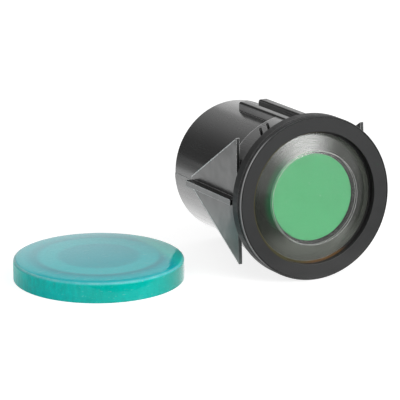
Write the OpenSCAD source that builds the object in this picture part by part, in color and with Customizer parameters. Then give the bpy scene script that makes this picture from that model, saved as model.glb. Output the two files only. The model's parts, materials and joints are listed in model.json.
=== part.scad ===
// Snap-in panel pushbutton switch with a clear boot, lying on its side beside its lens cover.
// Millimetres. The switch's own frame has x to the right, y down and z back from the bezel's front face,
// as seen from the front. The finished part stands on z = 0, front towards -Y.

/* [Bezel and flange] */
// Outer diameter of the bezel ring and of the flange
bezel_d = 31.6; // [30:0.2:40]
// Diameter of the bezel's opening
opening_d = 25.5; // [25:0.1:26]
// Depth of the recess wall inside the opening
recess_h = 1.2; // [1:0.1:1.8]
// Thickness of the recess wall
recess_wall = 1; // [0.8:0.1:1.2]
// Thickness of the bezel ring at its rim
ring_t = 0.7; // [0.6:0.05:0.9]
// Width of the snap groove between ring and flange
snap_groove_w = 0.3; // [0.25:0.05:0.4]
// Depth of the snap groove
snap_groove_h = 0.4; // [0.3:0.05:0.6]
// Thickness of the flange's rim
flange_t = 2.4; // [2.3:0.1:3]
// Chamfer along the outer edges of ring and flange
rim_chamfer = 0.2; // [0.1:0.05:0.25]

/* [Barrel] */
// Outer diameter of the barrel
barrel_d = 26; // [25.6:0.1:27]
// Wall of the barrel
barrel_wall = 1.5; // [1.2:0.1:1.8]
// Length from the bezel's front face to the barrel's rear end
barrel_len = 33.6; // [31:0.2:40]
// Step of the mould's parting line on the barrel's sides
parting_step = 0.1; // [0.05:0.05:0.2]

/* [Snap-in wings] */
// Panel thickness between flange and wings
panel_t = 2.05; // [2.05:0.05:3]
// Height of a wing's base edge
wing_h = 24.4; // [20:0.2:26]
// Length of a wing from its base to its tip
wing_len = 19.8; // [19:0.2:24]
// Height of a wing's blunt tip
wing_tip_h = 2; // [1.4:0.1:2.4]
// Thickness of a wing
wing_t = 0.7; // [0.5:0.05:1]
// How far a wing's outer face stands outside the barrel
wing_out = 0.6; // [0.3:0.05:0.65]
// Thickness of the rib along a wing
rib_t = 1.1; // [0.9:0.1:1.4]
// Height of the rib above the wing
rib_h = 1.6; // [1:0.1:1.8]
// Length of the rib
rib_len = 19; // [16:0.2:19]

/* [Fins and collar] */
// Diameter over the fins and the collar, which the panel's hole takes
spigot_d = 29.2; // [28.6:0.1:29.6]
// Thickness of a fin
fin_t = 1.65; // [1.4:0.05:2]
// Gap between the two fins of a pair
fin_gap = 2.6; // [2:0.1:3]
// Length of a fin behind the flange
fin_len = 21.8; // [16:0.2:24]
// Rounding of a fin's rear corner
fin_corner_r = 0.75; // [0.5:0.05:0.9]
// Rounding of a fin's long edges
fin_edge_r = 0.35; // [0.2:0.05:0.5]
// Length of the collar behind the flange
collar_len = 6.3; // [5.8:0.1:7]
// Clearance between the collar's ends and the wings
collar_gap = 0.3; // [0.2:0.1:1.5]
// Width of a slit in the collar
slit_w = 0.5; // [0.3:0.05:0.6]
// Length of a slit
slit_len = 3.3; // [2.4:0.1:3.6]
// Distance of the slits' middle from the flange
slit_at = 3.7; // [3.3:0.1:3.9]
// Depth of a slit
slit_h = 1.1; // [0.8:0.1:1.3]
// Turn of the slits from the switch's axis
slit_turn = 21; // [15:1:35]
// Distance of the first slit from the middle plane
slit_first_x = 6; // [5.8:0.1:6.6]
// Distance between the two slits
slit_pitch = 1.5; // [1.3:0.1:1.8]

/* [Boot and seal] */
// Diameter of the boot's flat top
plateau_d = 18.2; // [18:0.1:19]
// How far the flat top stands in front of the bezel
plateau_rise = 0; // [0:0.1:0.5]
// Thickness of the flat top
plateau_t = 0.6; // [0.5:0.1:0.8]
// Chamfer of the flat top's edge
plateau_chamfer = 0.2; // [0.1:0.05:0.3]
// Thickness of the boot's cone
boot_t = 0.6; // [0.5:0.05:0.7]
// Thickness of the boot's rim
boot_rim_t = 0.6; // [0.5:0.05:0.7]
// Width of the rim's flat step inside the seal ring
boot_step = 0.1; // [0.1:0.05:0.2]
// Thickness of the seal ring
seal_t = 0.2; // [0.2:0.05:0.4]
// How far the seal ring shows inside the recess wall
seal_show = 0.45; // [0.3:0.05:0.5]

/* [Button] */
// Diameter of the green button
cap_d = 16.8; // [16:0.1:17.2]
// Room between the boot's flat top and the button
boot_gap = 0.7; // [0.4:0.1:0.9]
// Thickness of the button's face
cap_face_t = 1.5; // [1.2:0.1:2]
// Wall of the button's skirt
cap_wall = 1.2; // [1:0.1:1.4]
// Height of the button
cap_h = 5.6; // [5:0.1:6]
// Chamfer of the button's edge
cap_chamfer = 0.1; // [0.1:0.05:0.3]
// Outer diameter of the boss under the button
boss_d = 6; // [5.4:0.1:6.4]
// Length of that boss
boss_len = 3.15; // [2.8:0.05:3.6]
// How far the button travels
travel = 1.2; // [1:0.1:2]
// Diameter of the plunger's stem
stem_d = 4; // [3.6:0.1:4.2]
// Diameter of the plunger's spigot in the boss
spigot_pin_d = 3; // [2.6:0.1:3.2]
// Length of that spigot
spigot_pin_len = 2.5; // [2:0.1:2.7]
// Depth of the stem's grooves
groove_h = 0.5; // [0.4:0.05:0.6]

/* [Guide and springs] */
// Wall of the guide bush
bush_wall = 0.55; // [0.45:0.05:0.7]
// Thickness of the bush's flange
bush_flange_t = 0.6; // [0.5:0.1:0.8]
// Width of the bush's flange
bush_flange_w = 0.7; // [0.5:0.1:0.8]
// Wall of the hub around the bush
hub_wall = 1.05; // [0.9:0.05:1.1]
// Length of the hub in front of the web
hub_len = 2; // [1.5:0.1:3]
// Thickness of the web across the barrel
web_t = 1.8; // [1.5:0.1:2.5]
// Thickness of the washer under the return spring
spring_seat_t = 0.3; // [0.2:0.05:0.4]
// Width of that washer
spring_seat_w = 2.4; // [2.2:0.1:2.8]
// Wire diameter of the return spring
spring_wire_d = 0.7; // [0.6:0.05:0.8]
// Middle diameter of the return spring
spring_mean_d = 10; // [9.6:0.1:10.4]
// Turns of the return spring
spring_turns = 6; // [5:1:7]
// Wire diameter of the contact spring
contact_wire_d = 0.45; // [0.4:0.05:0.5]
// Middle diameter of the contact spring
contact_spring_d = 5.5; // [5.3:0.1:5.8]
// Length of the contact spring
contact_spring_len = 2.6; // [2.4:0.1:3]
// Turns of the contact spring
contact_turns = 3; // [3:1:4]

/* [Contacts] */
// Thickness of a retaining clip
clip_t = 0.6; // [0.5:0.05:0.7]
// Outer diameter of a retaining clip
clip_d = 7.2; // [6.8:0.1:7.4]
// Width of a retaining clip's mouth
clip_mouth_w = 2.4; // [2:0.1:2.6]
// Thickness of the contact spring's washer
contact_washer_t = 0.4; // [0.3:0.05:0.5]
// Length of the contact bridge
bridge_len = 14; // [13.6:0.1:14.4]
// Width of the contact bridge
bridge_w = 5.6; // [5.2:0.1:6]
// Thickness of the contact bridge
bridge_t = 0.7; // [0.6:0.05:0.9]
// Distance of the contacts from the axis
contact_x = 5.4; // [5.2:0.1:5.6]
// Diameter of a contact tip
tip_d = 2.2; // [2:0.1:2.4]
// Thickness of a contact tip
tip_t = 0.5; // [0.4:0.05:0.6]
// Length of the stem behind its last clip
stem_tail = 0.7; // [0.6:0.05:0.8]
// Diameter of a contact rivet's shank
rivet_d = 1.4; // [1.2:0.1:1.6]
// Thickness of a rivet's rear head
rivet_head_t = 0.4; // [0.3:0.05:0.5]

/* [Terminals and base] */
// Width of a tab terminal
tab_w = 6.3; // [4.8:0.1:6.3]
// Thickness of a tab terminal
tab_t = 0.8; // [0.6:0.1:0.8]
// Distance of a tab's inner face from the axis
tab_x = 7.7; // [7.5:0.1:8]
// Length of a tab behind the base
tab_len = 7.8; // [6.5:0.1:8]
// Corner cut at a tab's end
tab_chamfer = 1; // [0.6:0.1:1.2]
// Diameter of a tab's catch hole
tab_hole_d = 1.8; // [1.4:0.1:2]
// Distance of a terminal's foot from the axis
foot_x = 3.2; // [3:0.1:3.6]
// Thickness of the terminal base
base_t = 3; // [2.5:0.1:3.5]
// Distance of the base screws from the axis
screw_y = 8.6; // [8.4:0.1:8.8]
// Diameter of a base screw
screw_d = 2.3; // [2:0.1:2.5]
// Diameter of a screw's head
screw_head_d = 4.2; // [3.8:0.1:4.4]
// Height of a screw's head
screw_head_h = 1.5; // [1.2:0.1:1.6]
// Length of a screw under its head
screw_len = 8.5; // [7:0.1:9]
// Width of a screw's cross slots
screw_slot_w = 0.5; // [0.4:0.05:0.6]
// Outer diameter of a screw boss
screw_boss_d = 4.2; // [3.8:0.1:4.4]

/* [Lens cover] */
// Height of the lens cover
lens_h = 4.2; // [3.6:0.1:5]
// How far the middle of its top stands above the rim
lens_crown = 0.2; // [0.1:0.05:0.3]
// Thickness of its top
lens_top_t = 1.3; // [1:0.1:1.5]
// Thickness of its snap lip
lens_lip_t = 0.4; // [0.35:0.05:0.6]
// Height of its snap lip, which reaches past the snap groove
lens_lip_h = 1.2; // [1.1:0.05:1.4]
// Wall above the lip
lens_wall = 1.4; // [1:0.1:1.8]
// Chamfer around the top
lens_chamfer = 0.4; // [0.2:0.05:0.5]
// Inner diameter of the shallow ring under the top
lens_ring_in_d = 15.8; // [14:0.2:18]
// Outer diameter of the shallow ring under the top
lens_ring_out_d = 24.2; // [22:0.2:26]
// Depth of the shallow ring
lens_ring_h = 0.15; // [0.1:0.05:0.25]
// Clear distance between the lens cover and the bezel, to the side
lens_apart = 4; // [2:0.1:10]
// How far the lens cover lies behind the bezel's front face
lens_behind = 3.1; // [0:0.1:6]

/* [Clearances] */
// Clearance around pieces that are fixed in a hole
fit = 0.05; // [0.03:0.01:0.08]
// Running clearance of the stem in its bush
run_fit = 0.05; // [0.03:0.01:0.08]
// Gap between flat faces of the moving and the fixed pieces
face_gap = 0.05; // [0.03:0.01:0.1]
// Room left between the moving boss and the bush at full travel
stop_room = 0.4; // [0.3:0.05:0.6]

/* [Hidden] */
$fn = 96;
SIDES = [-1, 1];
CUT = 1;

// Radii
bezel_r = bezel_d / 2;
opening_r = opening_d / 2;
barrel_r = barrel_d / 2;
bore_r = barrel_r - barrel_wall;
spigot_r = spigot_d / 2;
skirt_r = opening_r + recess_wall;
pocket_r = skirt_r + fit;
plateau_r = plateau_d / 2;
cap_r = cap_d / 2;
boss_r = boss_d / 2;
stem_r = stem_d / 2;
groove_r = stem_r - groove_h;
spigot_pin_r = spigot_pin_d / 2;
bush_in_r = stem_r + run_fit;
bush_r = bush_in_r + bush_wall;
hub_in_r = bush_r + fit;
hub_r = hub_in_r + hub_wall;
clip_r = clip_d / 2;
tip_r = tip_d / 2;
screw_r = screw_d / 2;
base_r = bore_r - 2 * fit;

// Depths behind the bezel's front face, front to rear
flange_z = ring_t + snap_groove_w;
flange_back = flange_z + flange_t;
seal_z = recess_h;
boot_rim_z = seal_z + seal_t;
boot_seat_z = boot_rim_z + boot_rim_t;
plateau_under_z = plateau_t - plateau_rise;
cap_z = plateau_under_z + boot_gap;
cap_under_z = cap_z + cap_face_t;
boss_end_z = cap_under_z + boss_len;
bush_z = boss_end_z + travel + stop_room;
hub_z = bush_z + bush_flange_t;
web_z = hub_z + hub_len;
web_back = web_z + web_t;
stop_clip_z = web_back + face_gap;
contact_washer_z = stop_clip_z + clip_t;
contact_spring_z = contact_washer_z + contact_washer_t;
bridge_z = contact_spring_z + contact_spring_len;
bridge_back = bridge_z + bridge_t;
end_clip_z = bridge_back + face_gap;
stem_end_z = end_clip_z + clip_t + stem_tail;
rivet_z = bridge_back + tip_t + travel + face_gap;
foot_z = rivet_z + tip_t;
base_z = foot_z + tab_t;
base_back = base_z + base_t;
tab_end_z = base_back + tab_len;
screw_tip_z = base_back - screw_len;

// Wings, ribs, fins and collar
wing_z = flange_back + panel_t;
wing_x = barrel_r + wing_out;
fin_in = fin_gap / 2;
fin_out = fin_in + fin_t;
fin_back = flange_back + fin_len;
root_r = barrel_r - barrel_wall / 2;
collar_out = wing_x - wing_t - collar_gap;
slit_z = flange_back + slit_at;

// The boot's cone runs from the flat top's edge to the step at the seal ring
cone_foot_r = opening_r - seal_show - boot_step;
cone_run = cone_foot_r - plateau_r;
cone_drop = boot_rim_z + plateau_rise - plateau_chamfer;
cone_angle = atan2(cone_drop, cone_run);
cone_shift = boot_t / sin(cone_angle);
cone_in_top_r = cone_r(plateau_under_z) - cone_shift;
cone_in_foot_r = cone_r(boot_seat_z) - cone_shift;

// Outer radius of the boot's cone at a depth
function cone_r(z) = plateau_r + (z + plateau_rise - plateau_chamfer) / tan(cone_angle);

// Lens cover
lens_in_r = bezel_r + fit;
lens_r = lens_in_r + lens_lip_t;
lens_cavity_r = lens_r - lens_wall;
lens_top_z = lens_h - lens_top_t;
lens_rim_z = lens_h - lens_crown;
lens_bead_z = lens_lip_h - flange_z + fit;
lens_bead_h = snap_groove_w - 2 * fit;
lens_bead_r = bezel_r - snap_groove_h + 2 * fit;
lens_x = -(max(bezel_r, wing_x + rib_h) + lens_apart + lens_r);
lens_y = lens_behind + lens_r;

// The switch leans back until the flange's rim and the lower fins' rounded ends both touch the floor
rim_z = flange_back - rim_chamfer;
lean_run = fin_back - fin_corner_r - rim_z;
lean_drop = bezel_r - spigot_r + fin_corner_r;
lean = atan2(lean_drop, lean_run) - asin(fin_corner_r / norm([lean_run, lean_drop]));
axis_h = rim_z * sin(lean) + bezel_r * cos(lean);

// The origin lies under the middle of the whole part
plateau_front_y = -plateau_rise * cos(lean) - (plateau_r - plateau_chamfer) * sin(lean);
bezel_front_y = -(bezel_r - rim_chamfer) * sin(lean);
barrel_back_y = barrel_len * cos(lean) + barrel_r * sin(lean);
part_x0 = lens_x - lens_r;
part_x1 = max(bezel_r, wing_x + rib_h);
part_y0 = min(plateau_front_y, bezel_front_y);
part_y1 = max(barrel_back_y, lens_y + lens_r);
origin = [(part_x0 + part_x1) / 2, (part_y0 + part_y1) / 2, 0];

// Puts a piece of the switch where it lies
module in_place() {
    translate([0, 0, axis_h] - origin)
        rotate([-90 - lean, 0, 0])
            children();
}

// Round bar along the axis from depth z0 to z1
module rod(r, z0, z1) {
    translate([0, 0, z0])
        cylinder(r = r, h = z1 - z0);
}

// Tube along the axis from depth z0 to z1
module tube(r_in, r_out, z0, z1) {
    difference() {
        rod(r_out, z0, z1);
        rod(r_in, z0 - CUT, z1 + CUT);
    }
}

// Disc from depth z0 to z1 with both rim edges chamfered
module chamfered_disc(r, z0, z1, c) {
    translate([0, 0, z0])
        rotate_extrude()
            polygon([[0, 0], [r - c, 0], [r, c], [r, z1 - z0 - c], [r - c, z1 - z0], [0, z1 - z0]]);
}

// Flat rectangle with its two corners at full height rounded
module round_top(w, h, r) {
    square([w, h - r]);
    translate([r, 0])
        square([w - 2 * r, h]);
    for (x = [r, w - r])
        translate([x, h - r])
            circle(r = r);
}

// Turns a flat outline of depth and height so that it stands along the axis, t thick inwards from x
module along_axis(x, t) {
    translate([x, 0, 0])
        rotate([0, -90, 0])
            linear_extrude(t)
                children();
}

// Triangular snap-in wing with its rib
module wing() {
    half = wing_h / 2;
    tip = wing_tip_h / 2;
    along_axis(wing_x, wing_t)
        polygon([
            [wing_z, -half], [wing_z + wing_len, -tip],
            [wing_z + wing_len, tip], [wing_z, half]
        ]);
    along_axis(wing_x + rib_h, rib_h + wing_t / 2)
        translate([wing_z, -rib_t / 2])
            square([rib_len, rib_t]);
}

// Locating fin with a rounded rear corner and rounded long edges
module fin() {
    front = flange_back - flange_t;
    len = fin_back - front;
    high = spigot_r - root_r;
    intersection() {
        translate([fin_in, root_r, front])
            linear_extrude(len)
                round_top(fin_t, high, fin_edge_r);
        along_axis(fin_out + CUT, fin_t + 2 * CUT)
            translate([front, root_r])
                round_top(len, high, fin_corner_r);
    }
}

// One quarter of the collar, between a fin and a wing
module collar_arc() {
    intersection() {
        tube(root_r, spigot_r, flange_z, flange_back + collar_len);
        translate([fin_out - fin_t / 2, 0, 0])
            cube([collar_out - fin_out + fin_t / 2, spigot_r, flange_back + collar_len]);
    }
}

// Two slits across the upper left part of the collar
module collar_slits() {
    for (i = [0, 1]) {
        x = slit_first_x + i * slit_pitch;
        y = sqrt(spigot_r * spigot_r - x * x);
        translate([-x, -y, slit_z])
            rotate([0, slit_turn, 0])
                translate([-slit_w / 2, -slit_h, -slit_len / 2])
                    cube([slit_w, 2 * slit_h, slit_len]);
    }
}

module housing() {
    color("#2e2f30")
        in_place()
            difference() {
                union() {
                    rod(bezel_r - snap_groove_h, ring_t, flange_z);
                    chamfered_disc(bezel_r, flange_z, flange_back, rim_chamfer);
                    rod(barrel_r, flange_z, barrel_len);
                    intersection() {
                        rod(barrel_r + parting_step, flange_back, barrel_len);
                        translate([-bezel_r, 0, 0])
                            cube([bezel_d, bezel_r, barrel_len]);
                    }
                    for (side = [0, 1])
                        mirror([side, 0, 0])
                            wing();
                    for (turn = [0, 180], side = [0, 1])
                        rotate([0, 0, turn])
                            mirror([side, 0, 0]) {
                                fin();
                                collar_arc();
                            }
                }
                collar_slits();
                rod(pocket_r, ring_t - CUT, boot_seat_z);
                tube(hub_r, bore_r, boot_seat_z - CUT, web_z);
                rod(hub_r + CUT, boot_seat_z - CUT, hub_z);
                rod(hub_in_r, hub_z - CUT, web_back + CUT);
                difference() {
                    rod(bore_r, web_back, barrel_len + CUT);
                    for (side = SIDES)
                        translate([0, side * screw_y, 0])
                            rod(screw_boss_d / 2, web_back - CUT, base_z);
                }
                for (side = SIDES)
                    translate([0, side * screw_y, 0])
                        rod(screw_r + fit, screw_tip_z - stop_room, base_z + CUT);
            }
}

module bezel_ring() {
    color("#3c3d3e")
        in_place()
            difference() {
                union() {
                    chamfered_disc(bezel_r, 0, ring_t, rim_chamfer);
                    rod(skirt_r, 0, recess_h);
                }
                rod(opening_r, -CUT, recess_h + CUT);
            }
}

module seal_ring() {
    color("#9a6a28")
        in_place()
            tube(opening_r - seal_show, skirt_r, seal_z, boot_rim_z);
}

module boot() {
    color("#b9bdbb", 0.45)
        in_place()
            rotate_extrude()
                polygon([
                    [0, -plateau_rise],
                    [plateau_r - plateau_chamfer, -plateau_rise],
                    [plateau_r, plateau_chamfer - plateau_rise],
                    [cone_foot_r, boot_rim_z],
                    [skirt_r, boot_rim_z],
                    [skirt_r, boot_seat_z],
                    [cone_in_foot_r, boot_seat_z],
                    [cone_in_top_r, plateau_under_z],
                    [0, plateau_under_z]
                ]);
}

module button_cap() {
    color("#3fa869")
        in_place()
            difference() {
                union() {
                    difference() {
                        chamfered_disc(cap_r, cap_z, cap_z + cap_h, cap_chamfer);
                        rod(cap_r - cap_wall, cap_under_z, cap_z + cap_h + CUT);
                    }
                    rod(boss_r, cap_under_z - cap_face_t / 2, boss_end_z);
                }
                rod(spigot_pin_r + fit, boss_end_z - spigot_pin_len - fit, boss_end_z + CUT);
            }
}

module plunger() {
    color("#d9d6cc")
        in_place()
            difference() {
                union() {
                    rod(spigot_pin_r, boss_end_z - spigot_pin_len, boss_end_z + CUT);
                    rod(stem_r, boss_end_z, stem_end_z);
                }
                for (z = [stop_clip_z, end_clip_z])
                    tube(groove_r, stem_r + CUT, z, z + clip_t);
            }
}

// Middle line of a coil at a turn count: closed turns at both ends, even pitch between
function coil_z(turn, turns, z0, z1, wire) =
    let (
        low = z0 + wire / 2,
        high = z1 - wire / 2,
        rise = (high - low - 2 * wire) / (turns - 2)
    )
    turn < 1 ? low + turn * wire
    : turn > turns - 1 ? high - (turns - turn) * wire
    : low + wire + (turn - 1) * rise;

// Coil spring between two depths
module coil(mean_d, wire, turns, z0, z1) {
    steps = 24;
    sides = 8;
    last = turns * steps;
    points = [
        for (i = [0:last], k = [0:sides - 1])
            let (
                around = 360 * i / steps,
                across = 360 * k / sides,
                r = mean_d / 2 + wire / 2 * cos(across)
            )
            [
                r * cos(around),
                r * sin(around),
                coil_z(i / steps, turns, z0, z1, wire) + wire / 2 * sin(across)
            ]
    ];
    skin = [
        for (i = [0:last - 1], k = [0:sides - 1])
            let (a = i * sides, b = a + sides, n = (k + 1) % sides)
            [a + k, a + n, b + n, b + k]
    ];
    start = [for (k = [sides - 1:-1:0]) k];
    end = [for (k = [0:sides - 1]) last * sides + k];
    polyhedron(points, concat(skin, [start, end]), convexity = 10);
}

module return_spring() {
    color("#c9cbcc")
        in_place()
            coil(
                spring_mean_d, spring_wire_d, spring_turns,
                cap_under_z + face_gap, web_z - spring_seat_t - face_gap
            );
}

module spring_seat() {
    color("#b4b6b8")
        in_place()
            tube(hub_r + fit, hub_r + fit + spring_seat_w, web_z - spring_seat_t, web_z);
}

module guide_bush() {
    color("#e6e2d6")
        in_place() {
            tube(bush_in_r, bush_r, bush_z, web_back);
            tube(bush_in_r, bush_r + bush_flange_w, bush_z, hub_z);
        }
}

module retaining_clips() {
    color("#a9abad")
        in_place()
            for (z = [stop_clip_z, end_clip_z])
                difference() {
                    tube(groove_r + fit, clip_r, z, z + clip_t);
                    translate([-clip_mouth_w / 2, 0, z - CUT])
                        cube([clip_mouth_w, clip_d, clip_t + 2 * CUT]);
                }
}

module contact_washer() {
    color("#cfc8b4")
        in_place()
            tube(
                stem_r + fit, contact_spring_d / 2 + contact_wire_d,
                contact_washer_z, contact_spring_z
            );
}

module contact_spring() {
    color("#c9cbcc")
        in_place()
            coil(
                contact_spring_d, contact_wire_d, contact_turns,
                contact_spring_z, bridge_z
            );
}

module contact_bridge() {
    color("#b98d3c")
        in_place()
            difference() {
                translate([-bridge_len / 2, -bridge_w / 2, bridge_z])
                    cube([bridge_len, bridge_w, bridge_t]);
                rod(stem_r + fit, bridge_z - CUT, bridge_back + CUT);
            }
}

module bridge_tips() {
    color("#d5d6d8")
        in_place()
            for (side = SIDES)
                translate([side * contact_x, 0, 0])
                    rod(tip_r, bridge_back, bridge_back + tip_t);
}

module contact_rivets() {
    color("#d5d6d8")
        in_place()
            for (side = SIDES)
                translate([side * contact_x, 0, 0]) {
                    rod(tip_r, rivet_z, foot_z);
                    rod(rivet_d / 2, rivet_z, base_back + rivet_head_t);
                    rod(tip_r, base_back, base_back + rivet_head_t);
                }
}

// Bent tab terminal on the right: a foot across the base and a tab through it
module terminal() {
    half = tab_w / 2;
    difference() {
        union() {
            translate([foot_x, -half, foot_z])
                cube([tab_x + tab_t - foot_x, tab_w, tab_t]);
            along_axis(tab_x + tab_t, tab_t)
                polygon([
                    [foot_z, -half], [tab_end_z - tab_chamfer, -half],
                    [tab_end_z, tab_chamfer - half], [tab_end_z, half - tab_chamfer],
                    [tab_end_z - tab_chamfer, half], [foot_z, half]
                ]);
        }
        translate([contact_x, 0, 0])
            rod(rivet_d / 2 + fit, foot_z - CUT, base_z + CUT);
        translate([tab_x - CUT, 0, base_back + tab_len / 2])
            rotate([0, 90, 0])
                cylinder(d = tab_hole_d, h = tab_t + 2 * CUT);
    }
}

module terminal_left() {
    color("#c7a24a")
        in_place()
            mirror([1, 0, 0])
                terminal();
}

module terminal_right() {
    color("#c7a24a")
        in_place()
            terminal();
}

module terminal_base() {
    color("#5b3a26")
        in_place()
            difference() {
                rod(base_r, base_z, base_back);
                for (side = SIDES) {
                    translate([0, side * screw_y, 0])
                        rod(screw_r + 2 * fit, base_z - CUT, base_back + CUT);
                    translate([side * contact_x, 0, 0])
                        rod(rivet_d / 2 + fit, base_z - CUT, base_back + CUT);
                    translate([side * (tab_x + tab_t / 2), 0, (base_z + base_back) / 2])
                        cube([tab_t + 2 * fit, tab_w + 2 * fit, base_t + 2 * CUT], center = true);
                }
            }
}

module base_screws() {
    color("#aeb0b2")
        in_place()
            for (side = SIDES)
                translate([0, side * screw_y, 0])
                    difference() {
                        union() {
                            rod(screw_r, screw_tip_z, base_back + screw_head_h / 2);
                            rod(screw_head_d / 2, base_back, base_back + screw_head_h);
                        }
                        for (turn = [0, 90])
                            rotate([0, 0, turn])
                                translate([0, 0, base_back + screw_head_h])
                                    cube([screw_head_d * 2 / 3, screw_slot_w, screw_head_h], center = true);
                    }
}

// Shallow cap: thin snap lip with a bead, thicker wall above it, a top that falls to its rim,
// and a shallow ring under the top's flat middle
module lens_cover() {
    color("#1fa79c", 0.8)
        translate([lens_x, lens_y, 0] - origin)
            difference() {
                rotate_extrude()
                    polygon([
                        [0, 0], [lens_r, 0], [lens_r, lens_rim_z - lens_chamfer],
                        [lens_r - lens_chamfer, lens_rim_z], [lens_ring_out_d / 2, lens_h], [0, lens_h]
                    ]);
                difference() {
                    rod(lens_in_r, -CUT, lens_lip_h);
                    tube(lens_bead_r, lens_in_r + CUT, lens_bead_z, lens_bead_z + lens_bead_h);
                }
                rod(lens_cavity_r, lens_lip_h - CUT, lens_top_z);
                tube(lens_ring_in_d / 2, lens_ring_out_d / 2, lens_top_z - CUT, lens_top_z + lens_ring_h);
            }
}

housing();
bezel_ring();
seal_ring();
boot();
button_cap();
plunger();
return_spring();
spring_seat();
guide_bush();
retaining_clips();
contact_washer();
contact_spring();
contact_bridge();
bridge_tips();
contact_rivets();
terminal_left();
terminal_right();
terminal_base();
base_screws();
lens_cover();
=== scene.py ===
import json
import math

import bpy
from mathutils import Matrix, Vector


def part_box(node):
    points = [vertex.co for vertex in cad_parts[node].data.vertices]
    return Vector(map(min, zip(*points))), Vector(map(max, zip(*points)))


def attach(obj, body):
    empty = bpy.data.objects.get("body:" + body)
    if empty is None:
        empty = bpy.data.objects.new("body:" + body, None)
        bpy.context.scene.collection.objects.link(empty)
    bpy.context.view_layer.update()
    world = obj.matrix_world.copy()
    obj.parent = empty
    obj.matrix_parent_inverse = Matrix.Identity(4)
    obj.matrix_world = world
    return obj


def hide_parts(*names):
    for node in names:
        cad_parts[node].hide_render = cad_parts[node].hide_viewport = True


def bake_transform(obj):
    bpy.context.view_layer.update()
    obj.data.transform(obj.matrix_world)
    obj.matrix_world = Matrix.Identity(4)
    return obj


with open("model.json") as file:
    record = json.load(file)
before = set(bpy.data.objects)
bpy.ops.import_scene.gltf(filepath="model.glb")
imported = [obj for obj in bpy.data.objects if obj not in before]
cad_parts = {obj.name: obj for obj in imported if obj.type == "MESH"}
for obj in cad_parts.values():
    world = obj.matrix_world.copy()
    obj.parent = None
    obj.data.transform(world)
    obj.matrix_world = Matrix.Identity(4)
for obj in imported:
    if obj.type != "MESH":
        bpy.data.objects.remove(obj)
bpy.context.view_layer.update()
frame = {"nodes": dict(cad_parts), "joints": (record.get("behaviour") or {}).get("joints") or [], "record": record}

MM = 0.001

# The switch's own frame: x to the right, y down, z back along its axis from the bezel's front face
AXIS = Vector(frame["joints"][0]["axis"]).normalized()
RIGHT = Vector((1, 0, 0))
DOWN = AXIS.cross(RIGHT)
MOUNTS = {mount["name"]: mount for mount in frame["record"]["mounts"]}
ON_AXIS = Vector(MOUNTS["panel_hole"]["pos_m"])
FRONT = min((v.co - ON_AXIS).dot(AXIS) for v in frame["nodes"]["bezel_ring"].data.vertices)
SWITCH = Matrix.Translation(ON_AXIS + AXIS * FRONT) @ Matrix((RIGHT, DOWN, AXIS)).transposed().to_4x4()

# The lens cover lies flat: its own frame stands on the floor under its middle
LENS_LOW, LENS_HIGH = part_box("lens_cover")
LENS = Matrix.Translation(((LENS_LOW.x + LENS_HIGH.x) / 2, (LENS_LOW.y + LENS_HIGH.y) / 2, LENS_LOW.z))

# Sizes of the switch in millimetres: radii from its axis, and depths behind the bezel's front face
BEZEL_R = 15.8
BEZEL_BACK = 0.7
BEZEL_EDGE_W = 0.12
BEZEL_EDGE_BACK = 0.18
BEZEL_REAR_CHAMFER = 0.15
GROOVE_IN_R = 15.38
GROOVE_OUT_R = 15.6
GROOVE_SLOPE = 0.06
GROOVE_BACK = 0.14
RECESS_R = 12.75
RECESS_BACK = 1.2
RIM_R = 13.75
SEAL_R = 12.3
SEAL_BACK = 1.4
BEAD_FOOT_R = 8.88
BEAD_IN_R = 8.94
BEAD_R = 9.0
BEAD_OUT_R = 9.02
BEAD_H = 0.05
PLATEAU_R = 9.12
PLATEAU_CHAMFER = 0.2
PLATEAU_UNDER_R = 8.47
CONE_R = 12.2
CONE_UNDER_R = 12.09
BOOT_T = 0.6
BOOT_BACK = 2.0
CAP_R = 8.4
CAP_INNER_R = 7.2
CAP_CHAMFER = 0.1
CAP_FRONT = 1.3
CAP_FACE_BACK = 2.8
CAP_BACK = 6.9
BOSS_R = 3.0
BOSS_BACK = 5.95
PIN_HOLE_R = 1.55
PIN_HOLE_FRONT = 3.4
FLANGE_BACK = 3.4
BARREL_R = 13.1
SPIGOT_R = 14.6
COLLAR_BACK = 9.7
FIN_OUT = 2.95
WING_IN = 12.9
WING_OUT = 13.6
RIB_OUT = 15.2
WING_FRONT = 5.45
WING_HALF = 12.2
WING_SLOPE = 0.566
SLIT_TURN = math.radians(21)
SLIT_MIDDLE = 7.1
SLIT_PLACES = (-6.0, -7.5)
RETURN_SPRING = {"mean_d": 10, "wire": 0.7, "turns": 6, "z0": 2.85, "z1": 9.8}
CONTACT_SPRING = {"mean_d": 5.5, "wire": 0.45, "turns": 3, "z0": 13.0, "z1": 15.6}

# Sizes of the lens cover in millimetres: radii from its middle, and heights above the floor
LENS_R = 16.25
LENS_H = 4.2
LENS_SIDE_H = 3.56
LENS_INNER_R = 14.85
LENS_UNDER_H = 2.9
LENS_RING_IN_R = 7.9
LENS_RING_OUT_R = 12.1
LENS_RING_H = 3.05
LENS_LIP_R = 15.85
LENS_LIP_H = 1.2
LENS_SNAP_R = 15.5
LENS_SNAP_LOW = 0.25
LENS_SNAP_HIGH = 0.45

# Roundings of the outlines' corners in millimetres
KEEN = 0.02
FINE = 0.03
CRISP = 0.05
EDGED = 0.06
EASED = 0.08
SOFT = 0.1
ROUND = 0.2
FULL = 0.3

# Camera, fitted to a square picture of this many pixels a side
PICTURE_PX = 400
FOCAL_PX = 3192
SENSOR_MM = 36
CAMERA_AZIMUTH = -26.2
CAMERA_ELEVATION = 16.41
CAMERA_DISTANCE_MM = 600
CAMERA_TARGET_MM = (-1.65, -8.74, 15.95)


def looking_from(azimuth, elevation):
    """Unit vector from the object towards a viewer at these angles, in degrees."""
    a = math.radians(azimuth)
    e = math.radians(elevation)
    return Vector((math.sin(a) * math.cos(e), -math.cos(a) * math.cos(e), math.sin(e)))


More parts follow.
